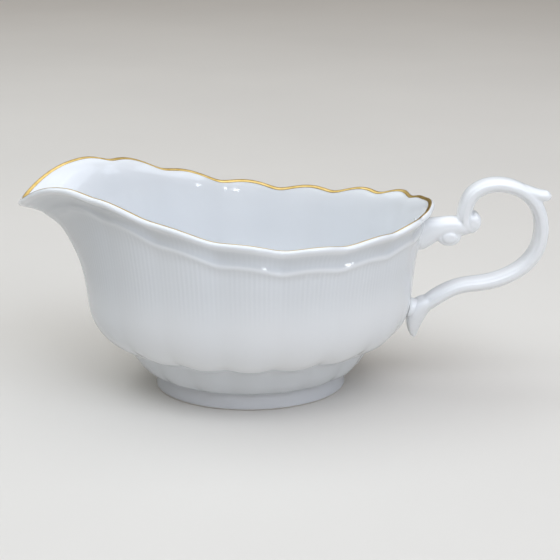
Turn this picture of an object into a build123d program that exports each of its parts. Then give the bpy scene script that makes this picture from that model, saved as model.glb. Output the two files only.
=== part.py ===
"""Gravy boat in glazed porcelain: a lobed bowl with a long spout, an oval foot ring, a scroll handle
luted on with slip, and a gilt line round the lip.

Frame: millimetres, +Z up, +X towards the handle, -X towards the spout. The object is its own mirror
image in the plane Y = 0. The origin is the centre of the foot ring's standing face.
"""
from build123d import *
from math import asin, cos, degrees, pi, radians, sin, sqrt
from typing import NamedTuple
import os

os.makedirs("parts", exist_ok=True)

# ------------------------------------------------------------------ driving dimensions, mm
# foot ring
FOOT_HALF_LENGTH = 42.0
FOOT_HALF_WIDTH = 31.0
FOOT_HEIGHT = 8.0
FOOT_TAPER = 0.8  # how much smaller each half axis is at the top
FOOT_WALL = 4.2
FOOT_EDGE_ROUND = 0.9

# bowl wall and floor
WALL = 3.0
LIP_RADIUS = 1.3
FLOOR_TOP = 12.6
BELLY_HEIGHT = 44.0  # below this level the bowl is the same all round, above it it follows the rim

# rim: its height is a short cosine series in the meridian angle, less a dip at the spout
RIM_MEAN = 91.6
RIM_TILT = -16.9
RIM_SADDLE = 9.8
RIM_SKEW = -1.06
RIM_LOBE_LIFT = 2.2
SPOUT_DIP = 36.5
SPOUT_DIP_SPREAD = 0.11

# spout: how far it draws the rim out, how sharply, and how much the rim narrows towards it
SPOUT_REACH = 21.1
SPOUT_SPREAD = 0.10
SPOUT_PINCH = 0.087

# lobes: 18 round the full turn, the pairs at the spout and behind the handle run together
LOBE_PITCH = 20.0  # degrees of meridian angle, 360 / LOBES
CREASE_SHARPNESS = 0.12
LEDGE_DROP = 9.3  # the moulded ledge's distance below the rim

# handle
STRAP_HALF_WIDTH = 5.0
STRAP_HALF_THICKNESS = 2.95
VOLUTE_HALF_WIDTH = 5.4
LUTING_GROWTH = 1.1  # how far the slip collar stands out from the handle's foot

# gilt line, in degrees over the lip's half round
GILT_THICKNESS = 0.2
GILT_START = 88.0  # from the level outward direction: the same steepness all round
GILT_SPREAD = 82.0
GILT_LIMIT = 176.0  # from the lip's own outer side: the gilt stops short of the inner face
OUTER_LIP_TURNS = (30.0, 60.0)  # the lip's lines before the gilt, from its own outer side

# sampling of the bowl's surface: one curve for each lobe, through this many steps
LOBES = 18
STEPS_PER_LOBE = 8


# ------------------------------------------------------------------ the bowl's formulas
def ramp(value, start, end):
    """A smooth step from 0 at start to 1 at end."""
    share = min(max((value - start) / (end - start), 0.0), 1.0)
    return share * share * (3 - 2 * share)


def spout_bell(t, spread):
    """1 on the spout's own meridian, t = pi, and nearly 0 on the rest of the bowl."""
    return 1 / (1 + (1 + cos(t)) / spread)


def scallop(t):
    """The lobe wave: 0.3 on a lobe's crown, -0.4 in the crease between two lobes."""
    angle = degrees(abs(t))
    crowns_and_creases = sqrt(sin(pi * angle / LOBE_PITCH) ** 2 + CREASE_SHARPNESS) - 0.75
    back_lobe = 0.25 * cos(pi * angle / LOBE_PITCH)
    spout_lobe = 0.25 * sin(pi * (angle - 140) / 40)
    past_back = ramp(angle, 8, 20)
    into_spout = ramp(angle, 139, 155)
    side = crowns_and_creases * past_back * (1 - into_spout)
    return back_lobe * (1 - past_back) + side + spout_lobe * into_spout


def rim_height(t):
    """The rim's height at a meridian."""
    swing = RIM_MEAN + RIM_TILT * cos(t) + RIM_SADDLE * cos(2 * t) + RIM_SKEW * cos(3 * t)
    return swing - SPOUT_DIP * spout_bell(t, SPOUT_DIP_SPREAD) + RIM_LOBE_LIFT * scallop(t)


class Row(NamedTuple):
    """One line round the bowl. Its height is BELLY_HEIGHT + share * (rim - BELLY_HEIGHT) - drop."""

    share: float
    drop: float
    half_length: float
    half_width: float
    lobe: float = 0.0  # how far the lobes swing the line in plan
    lift: float = 0.0  # how far the lobes swing it up


def low_row(height, half_length, half_width, lobe=0.0, lift=0.0):
    """A line below the belly, at one height all round."""
    return Row(0.0, BELLY_HEIGHT - height, half_length, half_width, lobe, lift)


def wall_row(share, half_length, half_width, lobe):
    """A line between the belly, share 0, and the ledge, share 1."""
    return Row(share, share * LEDGE_DROP, half_length, half_width, lobe)


def band_row(drop, half_length, half_width, lobe):
    """A line in the band between the ledge and the rim."""
    return Row(1.0, drop, half_length, half_width, lobe)


def row_point(t, row):
    """The point of a line at a meridian."""
    drop = row.drop
    if row.share > 0:
        drop *= 1 - 0.5 * spout_bell(t, SPOUT_DIP_SPREAD)
    rise = rim_height(t) - BELLY_HEIGHT
    height = BELLY_HEIGHT + row.share * rise - drop + row.lift * scallop(t)
    climb = max((height - BELLY_HEIGHT) / rise, 0.0)
    pinch = SPOUT_PINCH * ramp(climb, 0, 1)
    x = row.half_length * cos(t)
    y = row.half_width * sin(t) * (1 - pinch * (1 - cos(t)) / 2)
    reach = SPOUT_REACH * (0.6 * climb**2 + 0.4 * climb**10) * spout_bell(t, SPOUT_SPREAD)
    growth = 1 + (reach + row.lobe * scallop(t)) / sqrt(x * x + y * y)
    return Vector(x * growth, y * growth, height)


def outward_normal(t, row, next_row):
    """The wall's outward normal at a line, from the line's own run and the next line above."""
    step = 0.01
    along = row_point(t + step, row) - row_point(t - step, row)
    up = row_point(t, next_row) - row_point(t, row)
    return along.cross(up).normalized()


# The outside, from the flat bottom up to the lip: tier, step, belly, fluted wall, ledge, concave band.
OUTER_ROWS = [
    low_row(FOOT_HEIGHT, 43.2, 31.8, 0.3),
    low_row(9.2, 45.6, 33.2, 0.6, -0.5),
    low_row(11.0, 47.8, 34.5, 0.7, -0.5),
    low_row(13.5, 49.8, 35.8, 0.7, -0.5),
    low_row(16.5, 51.6, 37.1, 0.8, -0.6),
    low_row(19.5, 53.0, 38.2, 0.9, -0.8),
    low_row(21.0, 53.7, 38.8, 1.0, -1.0),
    low_row(21.7, 54.7, 39.6, 1.2, -1.1),
    low_row(22.3, 56.6, 40.8, 1.3, -1.1),
    low_row(23.7, 59.8, 42.4, 1.1, -1.0),
    low_row(25.6, 62.9, 43.9, 1.0, -0.8),
    low_row(28.3, 65.6, 45.3, 0.9, -0.5),
    low_row(32.0, 68.0, 46.6, 0.8, -0.2),
    low_row(36.5, 69.5, 47.5, 0.7),
    wall_row(0.0, 70.4, 48.0, 0.6),
    wall_row(0.25, 70.8, 48.2, 0.6),
    wall_row(0.5, 71.3, 48.4, 0.8),
    wall_row(0.75, 72.1, 48.6, 1.1),
    wall_row(0.93, 72.9, 48.9, 1.3),
    band_row(LEDGE_DROP, 73.6, 49.3, 1.5),
    band_row(8.4, 73.5, 49.1, 1.7),
    band_row(7.0, 73.3, 48.7, 2.0),
    band_row(5.0, 73.9, 48.6, 2.3),
    band_row(3.0, 75.2, 48.8, 2.5),
    band_row(LIP_RADIUS, 76.8, 49.1, 2.6),
]

# The outside that the inner face is offset from: no ledge and no step, so the inside stays smooth.
INNER_ROWS = [
    band_row(LIP_RADIUS, 76.8, 49.1, 2.6),
    band_row(3.0, 75.5, 48.9, 2.2),
    band_row(6.0, 74.2, 48.7, 1.7),
    wall_row(0.93, 73.1, 48.6, 1.3),
    wall_row(0.75, 72.1, 48.4, 1.1),
    wall_row(0.5, 71.3, 48.2, 0.8),
    wall_row(0.25, 70.8, 48.1, 0.6),
    wall_row(0.0, 70.4, 48.0, 0.6),
    low_row(36.5, 69.3, 47.2, 0.6),
    low_row(30.0, 66.8, 45.6, 0.6),
]

# The inside's own lines below that, down to the edge of the flat floor.
FLOOR_ROWS = [
    low_row(24.0, 60.0, 38.8, 0.5),
    low_row(19.6, 55.6, 35.0, 0.4),
    low_row(16.2, 50.4, 30.8, 0.3),
    low_row(14.0, 44.6, 26.6, 0.2),
    low_row(12.9, 38.8, 22.6, 0.1),
    low_row(FLOOR_TOP, 33.0, 18.8),
]


def lip_frame(t):
    """The lip's centre at a meridian, its outward direction and its direction up along the wall."""
    edge = row_point(t, OUTER_ROWS[-1])
    outward = outward_normal(t, OUTER_ROWS[-2], OUTER_ROWS[-1])
    up = (edge - row_point(t, OUTER_ROWS[-2])).normalized()
    return edge - outward * LIP_RADIUS, outward, up


def lip_arc(t, turns, radius):
    """Points on a half round about the lip's centre at a meridian, from its outer side over the top."""
    centre, outward, up = lip_frame(t)
    return [
        centre + (outward * cos(radians(turn)) + up * sin(radians(turn))) * radius for turn in turns
    ]


def gilt_turns(t):
    """Where the gilt starts, its middle and its end, just inside the lip's top however the wall leans."""
    lean = degrees(asin(-lip_frame(t)[1].Z))
    start = GILT_START + lean
    end = min(start + GILT_SPREAD, GILT_LIMIT)
    return start, (start + end) / 2, end


def lip_turns(t):
    """The turns of the bowl's own lines over the lip, the gilt's among them."""
    on_gilt = gilt_turns(t)
    return *OUTER_LIP_TURNS, (OUTER_LIP_TURNS[-1] + on_gilt[0]) / 2, *on_gilt


def wall_thickness(index):
    """The wall's thickness along the inner lines: the lip's own, then the full wall."""
    return 2 * LIP_RADIUS + (WALL - 2 * LIP_RADIUS) * ramp(index, 0, 4)


def inner_points(t):
    """The inner face at a meridian: the outside set back square to itself by the wall's thickness."""
    points = []
    for index, row in enumerate(INNER_ROWS):
        if index + 1 < len(INNER_ROWS):
            normal = outward_normal(t, INNER_ROWS[index + 1], row)
        else:
            normal = outward_normal(t, row, INNER_ROWS[index - 1])
        points.append(row_point(t, row) - normal * wall_thickness(index))
    return points


def meridian_points(t):
    """All the points of the bowl's skin at a meridian, from the bottom's edge to the floor's edge."""
    outside = [row_point(t, row) for row in OUTER_ROWS]
    floor = [row_point(t, row) for row in FLOOR_ROWS]
    lip = lip_arc(t, lip_turns(t), LIP_RADIUS)
    return outside + lip + inner_points(t) + floor


def full_turn(points_at):
    """The points of every meridian round the whole bowl, the far half mirrored from the near one."""
    steps = LOBES * STEPS_PER_LOBE
    columns = []
    for step in range(steps):
        t = 2 * pi * step / steps
        points = points_at(min(t, 2 * pi - t))
        side = 1 if t <= pi else -1
        columns.append([Vector(point.X, side * point.Y, point.Z) for point in points])
    return columns


def line_round(columns, index):
    """A closed line round the bowl through one point of every meridian: a smooth curve for each lobe."""
    count = len(columns)
    curves = []
    for lobe in range(LOBES):
        first = lobe * STEPS_PER_LOBE
        points = [columns[(first + step) % count][index] for step in range(STEPS_PER_LOBE + 1)]
        curves.append(Edge.make_spline(points, parameters=list(range(STEPS_PER_LOBE + 1))))
    return Wire(curves)


# ------------------------------------------------------------------ bowl
skin_columns = full_turn(meridian_points)
skin_lines = [line_round(skin_columns, index) for index in range(len(skin_columns[0]))]

with BuildPart() as bowl:
    add(Solid.make_loft(skin_lines, ruled=True))
bowl.part.label = "bowl"

# ------------------------------------------------------------------ foot ring
with BuildPart() as foot_ring:
    with BuildSketch(Plane.XY) as standing_outline:
        Ellipse(FOOT_HALF_LENGTH, FOOT_HALF_WIDTH)
    with BuildSketch(Plane.XY.offset(FOOT_HEIGHT)) as joined_outline:
        Ellipse(FOOT_HALF_LENGTH - FOOT_TAPER, FOOT_HALF_WIDTH - FOOT_TAPER)
    loft()
    with BuildSketch(Plane.XY) as standing_hollow:
        Ellipse(FOOT_HALF_LENGTH - FOOT_WALL, FOOT_HALF_WIDTH - FOOT_WALL)
    with BuildSketch(Plane.XY.offset(FOOT_HEIGHT)) as joined_hollow:
        Ellipse(FOOT_HALF_LENGTH - FOOT_WALL - FOOT_TAPER, FOOT_HALF_WIDTH - FOOT_WALL - FOOT_TAPER)
    loft(mode=Mode.SUBTRACT)
    fillet(foot_ring.edges().group_by(Axis.Z)[0], FOOT_EDGE_ROUND)
foot_ring.part.label = "foot_ring"


# ------------------------------------------------------------------ handle
class Section(NamedTuple):
    """An oval section of the handle, square to the handle's centreline in the mirror plane."""

    x: float
    z: float
    angle: float  # which way the centreline runs there, degrees from +X towards +Z
    half_thickness: float
    half_width: float


def oval_plane(section):
    """The plane of a section: its X along Y of the object, its normal along the centreline."""
    heading = radians(section.angle)
    return Plane(
        origin=(section.x, 0, section.z), x_dir=(0, 1, 0), z_dir=(cos(heading), 0, sin(heading))
    )


def oval_limb(sections, grow=0.0):
    """A smooth solid through oval sections, each made larger all round by grow."""
    with BuildPart() as limb:
        for section in sections:
            with BuildSketch(oval_plane(section)):
                Ellipse(section.half_width + grow, section.half_thickness + grow)
        loft()
    return limb.part


# The strap's centreline: up from the bracket, over the top, down the back and in to the bowl.
STRAP_CENTRELINE = [
    (92.0, 71.0),
    (92.0, 79.0),
    (95.0, 86.0),
    (101.5, 89.6),
    (109.0, 89.7),
    (116.5, 86.8),
    (122.4, 80.6),
    (125.1, 71.0),
    (124.2, 62.3),
    (119.8, 54.8),
    (112.0, 49.3),
    (102.0, 46.1),
    (91.0, 44.4),
    (83.0, 42.0),
    (77.0, 37.8),
    (71.0, 32.0),
]
STRAP_SECTIONS = 28

with BuildLine(Plane.XZ) as strap_line:
    strap_curve = Spline(*STRAP_CENTRELINE)

strap_sections = []
for step in range(STRAP_SECTIONS + 1):
    share = step / STRAP_SECTIONS
    place = strap_curve @ share
    heading = strap_curve % share
    root = ramp(share, 0.86, 1.0)
    strap_sections.append(
        Section(
            place.X,
            place.Z,
            Vector(1, 0, 0).get_signed_angle(heading, Vector(0, -1, 0)),
            STRAP_HALF_THICKNESS + 0.9 * root,
            STRAP_HALF_WIDTH + 1.0 * root,
        )
    )

# The bracket carries the strap's top end off the bowl, just under the rim.
BRACKET_SECTIONS = [
    Section(69.0, 66.4, 24, 7.2, 6.4),
    Section(74.5, 68.6, 20, 6.4, 5.9),
    Section(80.0, 70.4, 12, 5.0, 5.2),
    Section(86.0, 71.4, 6, 4.9, 5.0),
    Section(93.5, 71.8, 4, 4.0, 4.9),
]
# The thumb rest springs from the top of the strap and ends in a blunt tip.
THUMB_REST_SECTIONS = [
    Section(112.0, 88.8, -20, 2.6, 4.6),
    Section(117.0, 87.2, -18, 2.7, 4.5),
    Section(121.5, 85.9, -12, 2.3, 4.1),
    Section(125.5, 85.4, 0, 1.9, 3.3),
    Section(128.2, 85.6, 6, 0.8, 1.4),
]
# The leaf hangs from the strap's lower end, clear of the bowl, to a point.
LEAF_SECTIONS = [
    Section(75.0, 39.0, -110, 3.4, 5.6),
    Section(73.6, 34.5, -104, 3.7, 5.2),
    Section(72.9, 30.0, -98, 3.4, 4.4),
    Section(72.6, 25.5, -94, 2.5, 3.1),
    Section(72.6, 21.5, -90, 1.2, 1.3),
    Section(72.7, 20.3, -90, 0.4, 0.4),
]
# The slip collars wrap the bracket's foot and the strap's foot where they meet the bowl.
UPPER_COLLAR_SECTIONS = [
    Section(70.2, 66.8, 24, 7.0, 6.3),
    Section(73.2, 68.1, 21, 6.6, 6.0),
    Section(75.4, 68.9, 19, 6.1, 5.8),
]
LOWER_COLLAR_SECTIONS = [
    Section(70.0, 36.6, -160, 5.4, 6.0),
    Section(72.2, 37.4, -160, 5.2, 5.9),
    Section(74.0, 38.1, -160, 4.7, 5.7),
]
# Each volute is a short roll across the handle with a raised eye at both ends.
VOLUTES = [(85.3, 67.8, 4.2), (95.4, 73.2, 3.6)]
EYE_SHARE = 0.55
EYE_RISE = 0.7

strap = oval_limb(strap_sections)
bracket = oval_limb(BRACKET_SECTIONS)
thumb_rest = oval_limb(THUMB_REST_SECTIONS)
leaf = oval_limb(LEAF_SECTIONS)

with BuildPart() as handle_blank:
    add([strap, bracket, thumb_rest, leaf])
    for x, z, radius in VOLUTES:
        with BuildSketch(Plane.XZ) as roll_outline:
            with Locations((x, z)):
                Circle(radius)
        extrude(amount=VOLUTE_HALF_WIDTH, both=True)
        with BuildSketch(Plane.XZ) as eye_outline:
            with Locations((x, z)):
                Circle(radius * EYE_SHARE)
        extrude(amount=VOLUTE_HALF_WIDTH + EYE_RISE, both=True)
    add(bowl.part, mode=Mode.SUBTRACT)

with BuildPart() as handle:
    add(handle_blank.solids().sort_by(SortBy.VOLUME)[-1])
handle.part.label = "handle"


# ------------------------------------------------------------------ slip joints
def slip_collar(foot):
    """The collar of slip round one foot of the handle, up against the bowl."""
    with BuildPart() as blank:
        add(foot)
        add(bowl.part, mode=Mode.SUBTRACT)
        add(handle_blank.part, mode=Mode.SUBTRACT)
    with BuildPart() as collar:
        add(blank.solids().sort_by(SortBy.VOLUME)[-1])
    return collar.part


upper_joint = slip_collar(oval_limb(UPPER_COLLAR_SECTIONS, LUTING_GROWTH))
upper_joint.label = "upper_slip_joint"
lower_joint = slip_collar(oval_limb(LOWER_COLLAR_SECTIONS, LUTING_GROWTH))
lower_joint.label = "lower_slip_joint"


# ------------------------------------------------------------------ gilt line
def gilt_points(t):
    """The gilt's section at a meridian: along the lip one way and back a gilt's thickness above it."""
    on_lip = lip_arc(t, gilt_turns(t), LIP_RADIUS)
    above_lip = lip_arc(t, gilt_turns(t), LIP_RADIUS + GILT_THICKNESS)
    return on_lip + above_lip[::-1]


gilt_columns = full_turn(gilt_points)
gilt_lines = [line_round(gilt_columns, index).edges() for index in range(len(gilt_columns[0]))]
gilt_faces = []
for line, next_line in zip(gilt_lines, gilt_lines[1:] + gilt_lines[:1]):
    for curve, next_curve in zip(line, next_line):
        gilt_faces.append(Face.make_surface_from_curves(curve, next_curve))

with BuildPart() as gilt_band:
    add(Solid(Shell(gilt_faces)))
gilt_band.part.label = "gilt_band"

# ------------------------------------------------------------------ files
for piece in (bowl.part, foot_ring.part, handle.part, upper_joint, lower_joint, gilt_band.part):
    export_step(piece, f"parts/{piece.label}.step")
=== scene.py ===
"""Studio scene of a porcelain gravy boat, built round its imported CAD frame.

Every mesh is in metres in the row frame: +Z up, +X towards the handle, -X towards the spout, the mirror
plane at Y = 0 and the origin at the centre of the foot ring's standing face. Shapes are worked out in
millimetres as whole numpy arrays and turned into metres when the mesh is made.
"""
import logging
import math
from dataclasses import dataclass
from enum import Enum

import bpy
import numpy as np
from mathutils import Matrix, Vector


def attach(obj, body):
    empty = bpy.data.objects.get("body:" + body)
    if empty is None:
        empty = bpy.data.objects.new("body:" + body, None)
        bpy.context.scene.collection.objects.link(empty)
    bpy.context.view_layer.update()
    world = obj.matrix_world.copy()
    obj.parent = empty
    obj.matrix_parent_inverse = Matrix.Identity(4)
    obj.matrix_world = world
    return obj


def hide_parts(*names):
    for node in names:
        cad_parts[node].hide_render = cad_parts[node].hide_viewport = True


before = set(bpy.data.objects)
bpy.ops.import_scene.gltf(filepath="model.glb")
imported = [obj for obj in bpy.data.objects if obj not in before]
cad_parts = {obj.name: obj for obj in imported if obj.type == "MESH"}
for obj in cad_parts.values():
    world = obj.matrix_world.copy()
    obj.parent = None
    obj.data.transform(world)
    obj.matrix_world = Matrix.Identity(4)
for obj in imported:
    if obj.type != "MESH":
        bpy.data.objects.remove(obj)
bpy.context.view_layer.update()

MM = 0.001
log = logging.getLogger("gravy_boat")


# ------------------------------------------------------------------ small mathematics
def ramp(value: np.ndarray, start: float, end: float) -> np.ndarray:
    """A smooth step from 0 at start to 1 at end: s * s * (3 - 2 s) of the share s of the way."""
    share = np.clip((np.asarray(value, float) - start) / (end - start), 0.0, 1.0)
    return share * share * (3 - 2 * share)


def unit(vectors: np.ndarray) -> np.ndarray:
    """The vectors, each divided by its own length."""
    return vectors / np.maximum(np.linalg.norm(vectors, axis=-1, keepdims=True), 1e-12)


def spline_samples(lines: np.ndarray, per_gap: list[int]) -> np.ndarray:
    """Carries a natural cubic spline through a stack of lines.

    The knots are the mean chord lengths between the lines, and the second derivatives at the knots come
    from the usual three-term linear system, solved once for all columns.

    Args:
        lines: array of lines, shape (lines, columns, 3), or a single path, shape (points, 1, 3).
        per_gap: how many steps to take between each line and the next.

    Returns:
        The sampled lines, shape (sum(per_gap) + 1, columns, 3).
    """
    count = len(lines)
    gaps = np.linalg.norm(np.diff(lines, axis=0), axis=-1).mean(axis=1)
    system = np.zeros((count, count))
    right = np.zeros_like(lines)
    system[0, 0] = system[-1, -1] = 1.0
    inner = np.arange(1, count - 1)
    system[inner, inner - 1] = gaps[:-1]
    system[inner, inner] = 2 * (gaps[:-1] + gaps[1:])
    system[inner, inner + 1] = gaps[1:]
    slopes = np.diff(lines, axis=0) / gaps[:, None, None]
    right[1:-1] = 6 * np.diff(slopes, axis=0)
    bend = np.linalg.solve(system, right.reshape(count, -1)).reshape(lines.shape)
    index = np.concatenate([np.full(steps, gap) for gap, steps in enumerate(per_gap)] + [[count - 2]])
    part = np.concatenate([np.arange(steps) / steps for steps in per_gap] + [[1.0]])[:, None, None]
    span = gaps[index][:, None, None]
    low, high = 1 - part, part
    smooth = (low**3 - low) * bend[index] + (high**3 - high) * bend[index + 1]
    return low * lines[index] + high * lines[index + 1] + smooth * span**2 / 6


def grid_normals(grid: np.ndarray, closed_columns: bool) -> np.ndarray:
    """Unit normals of a (rows, columns, 3) grid: the cross product of its central differences."""
    if closed_columns:
        along = np.roll(grid, -1, axis=1) - np.roll(grid, 1, axis=1)
    else:
        along = np.gradient(grid, axis=1)
    return unit(np.cross(along, np.gradient(grid, axis=0)))


# ------------------------------------------------------------------ meshes
def grid_faces(rows: int, columns: int, wrap_rows: bool) -> np.ndarray:
    """Quads of a grid whose columns close on themselves, and whose rows do if wrap_rows is set."""
    row = np.arange(rows if wrap_rows else rows - 1)[:, None]
    column = np.arange(columns)[None, :]
    above = (row + 1) % rows
    beside = (column + 1) % columns
    corners = [
        row * columns + column, row * columns + beside, above * columns + beside, above * columns + column,
    ]
    return np.stack([np.broadcast_to(c, (len(row), columns)) for c in corners], axis=-1).reshape(-1, 4)


def pole_faces(ring_start: int, columns: int, pole: int, upwards: bool) -> np.ndarray:
    """Triangles from a ring of a grid to one pole vertex."""
    here = ring_start + np.arange(columns)
    beside = ring_start + (np.arange(columns) + 1) % columns
    tip = np.full(columns, pole)
    order = [here, beside, tip] if upwards else [beside, here, tip]
    return np.stack(order, axis=-1)


def make_mesh(name: str, points_mm: np.ndarray, face_sets: list[np.ndarray]) -> bpy.types.Object:
    """Makes a smooth-shaded object at the origin from points in millimetres and arrays of faces.

    Args:
        name: the object's name.
        points_mm: vertex positions, shape (n, 3).
        face_sets: arrays of vertex indices, one array for each face size.

    Returns:
        The new object, linked to the scene.
    """
    mesh = bpy.data.meshes.new(name)
    loops = np.concatenate([faces.reshape(-1) for faces in face_sets])
    sizes = np.concatenate([np.full(len(faces), faces.shape[1]) for faces in face_sets])
    mesh.vertices.add(len(points_mm))
    mesh.vertices.foreach_set("co", (np.asarray(points_mm) * MM).astype(np.float32).reshape(-1))
    mesh.loops.add(len(loops))
    mesh.loops.foreach_set("vertex_index", loops.astype(np.int32))
    mesh.polygons.add(len(sizes))
    mesh.polygons.foreach_set("loop_start", (np.cumsum(sizes) - sizes).astype(np.int32))
    mesh.polygons.foreach_set("use_smooth", np.ones(len(sizes), bool))
    mesh.update(calc_edges=True)
    mesh.validate()
    piece = bpy.data.objects.new(name, mesh)
    bpy.context.collection.objects.link(piece)
    return piece


def closed_skin(name: str, grid: np.ndarray) -> bpy.types.Object:
    """A closed mesh from a (rows, columns, 3) grid, with a pole at the middle of its first and last row."""
    rows, columns, _ = grid.shape
    poles = np.stack([grid[0].mean(axis=0), grid[-1].mean(axis=0)])
    points = np.concatenate([grid.reshape(-1, 3), poles])
    quads = grid_faces(rows, columns, wrap_rows=False)
    start_cap = pole_faces(0, columns, rows * columns, upwards=False)
    end_cap = pole_faces((rows - 1) * columns, columns, rows * columns + 1, upwards=True)
    return make_mesh(name, points, [quads, start_cap, end_cap])


def store_attribute(piece: bpy.types.Object, name: str, values: np.ndarray) -> None:
    """Stores one number for each vertex, under a name that a material can read."""
    layer = piece.data.attributes.new(name, "FLOAT", "POINT")
    layer.data.foreach_set("value", values.astype(np.float32).reshape(-1))


# ------------------------------------------------------------------ finishes
class Shader:
    """A thin wrapper on a material's node tree, for short material recipes."""

    def __init__(self, name: str) -> None:
        """Makes an empty material with one Principled shader joined to its output."""
        self.material = bpy.data.materials.new(name)
        self.material.use_nodes = True
        self.tree = self.material.node_tree
        self.tree.nodes.clear()
        self.output = self.tree.nodes.new("ShaderNodeOutputMaterial")
        self.surface = self.tree.nodes.new("ShaderNodeBsdfPrincipled")
        self.join(self.surface.outputs["BSDF"], self.output.inputs["Surface"])

    def join(self, source: bpy.types.NodeSocket, target: bpy.types.NodeSocket) -> None:
        """Links one socket to another."""
        self.tree.links.new(source, target)

    def node(self, kind: str, **inputs: object) -> bpy.types.Node:
        """Adds a node and fills its inputs, given by name with underscores for spaces."""
        made = self.tree.nodes.new(kind)
        for key, value in inputs.items():
            socket = made.inputs[key.replace("_", " ")]
            if isinstance(value, bpy.types.NodeSocket):
                self.join(value, socket)
            else:
                socket.default_value = value
        return made

    def place(self) -> bpy.types.NodeSocket:
        """The point's own place on the object."""
        return self.tree.nodes.new("ShaderNodeTexCoord").outputs["Object"]

    def noise(self, scale: float, detail: float = 3.0, roughness: float = 0.5) -> bpy.types.NodeSocket:
        """Plain noise on the object's own coordinates."""
        made = self.node("ShaderNodeTexNoise", Vector=self.place(), Scale=scale, Detail=detail)
        made.inputs["Roughness"].default_value = roughness
        return made.outputs["Fac"]

    def attribute(self, name: str) -> bpy.types.NodeSocket:
        """A number stored on the mesh."""
        made = self.tree.nodes.new("ShaderNodeAttribute")
        made.attribute_name = name
        return made.outputs["Fac"]

    def span(self, source: bpy.types.NodeSocket, limits: tuple[float, float],
             to: tuple[float, float]) -> bpy.types.NodeSocket:
        """Maps a number from one range to another, clamped."""
        made = self.node("ShaderNodeMapRange", Value=source)
        made.inputs["From Min"].default_value, made.inputs["From Max"].default_value = limits
        made.inputs["To Min"].default_value, made.inputs["To Max"].default_value = to
        return made.outputs["Result"]

    def blend(self, share: bpy.types.NodeSocket, first: object, second: object) -> bpy.types.NodeSocket:
        """Mixes two colours, each a socket or an RGB triple, by a share from 0 to 1."""
        made = self.tree.nodes.new("ShaderNodeMix")
        made.data_type = "RGBA"
        self.join(share, made.inputs["Factor"])
        for colour, key in ((first, "A"), (second, "B")):
            socket = next(s for s in made.inputs if s.name == key and s.type == "RGBA")
            if isinstance(colour, bpy.types.NodeSocket):
                self.join(colour, socket)
            else:
                socket.default_value = (*colour, 1.0)
        return next(s for s in made.outputs if s.type == "RGBA")

    def bump(self, height: bpy.types.NodeSocket, distance: float, strength: float) -> None:
        """Adds a bump to the surface's normal."""
        made = self.node("ShaderNodeBump", Height=height, Distance=distance, Strength=strength)
        self.join(made.outputs["Normal"], self.surface.inputs["Normal"])


@dataclass(frozen=True)
class PorcelainGlaze:
    """Clear gloss glaze over white porcelain: bluish grey where it pools and where shade is painted on, with
    a soft waviness and rare specks.
    """

    name: str = "porcelain_glaze"
    white: tuple[float, float, float] = (0.80, 0.825, 0.85)
    warm_white: tuple[float, float, float] = (0.815, 0.825, 0.835)
    # The colour of pooled glaze, also used for painted shade.
    pooled_and_shaded: tuple[float, float, float] = (0.60, 0.63, 0.66)
    speck: tuple[float, float, float] = (0.25, 0.22, 0.2)
    bare_clay: tuple[float, float, float] = (0.72, 0.69, 0.64)
    bare_roughness: float = 0.85
    bare_height: tuple[float, float] = (0.0004, 0.0009)
    roughness: tuple[float, float] = (0.07, 0.13)
    pool_and_shade_share: float = 0.8
    speck_size: tuple[float, float] = (0.018, 0.03)
    speck_rarity: tuple[float, float] = (0.985, 0.986)
    speck_share: float = 0.8
    wave_scale: float = 70.0
    wave_height: float = 0.00012
    refraction: float = 1.52
    bare_edge: bool = False

    def make(self) -> bpy.types.Material:
        """Builds the material.

        Returns:
            The glaze, reading the mesh's own attribute for the depth of glaze in hollows and for painted
            shade, both drawn in the pooled colour.
        """
        shader = Shader(self.name)
        clouds = shader.span(shader.noise(9.0, 2.0), (0.35, 0.65), (0.0, 1.0))
        body = shader.blend(clouds, self.white, self.warm_white)
        # Painted shade and pooled glaze, as stored on the mesh, mix in the pooled colour.
        pool_and_shade = shader.span(shader.attribute("pool_and_shade"), (0.0, 1.0), (0.0, self.pool_and_shade_share))
        colour = shader.blend(pool_and_shade, body, self.pooled_and_shaded)
        grains = shader.node("ShaderNodeTexVoronoi", Vector=shader.place(), Scale=95.0)
        near = shader.span(grains.outputs["Distance"], self.speck_size, (1.0, 0.0))
        rare = shader.node("ShaderNodeSeparateColor", Color=grains.outputs["Color"])
        chosen = shader.span(rare.outputs["Red"], self.speck_rarity, (0.0, self.speck_share))
        spots = shader.tree.nodes.new("ShaderNodeMath")
        spots.operation = "MULTIPLY"
        shader.join(near, spots.inputs[0])
        shader.join(chosen, spots.inputs[1])
        colour = shader.blend(spots.outputs[0], colour, self.speck)
        gloss = shader.span(shader.noise(160.0, 4.0), (0.3, 0.7), self.roughness)
        if self.bare_edge:
            height = shader.node("ShaderNodeSeparateXYZ", Vector=shader.place()).outputs["Z"]
            bare = shader.span(height, self.bare_height, (1.0, 0.0))
            colour = shader.blend(bare, colour, self.bare_clay)
            rough = shader.node("ShaderNodeMix", Factor=bare, B=self.bare_roughness)
            shader.join(gloss, rough.inputs["A"])
            gloss = rough.outputs["Result"]
        shader.join(colour, shader.surface.inputs["Base Color"])
        shader.join(gloss, shader.surface.inputs["Roughness"])
        shader.surface.inputs["IOR"].default_value = self.refraction
        shader.bump(shader.noise(self.wave_scale, 2.0), self.wave_height, 0.35)
        return shader.material


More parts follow.
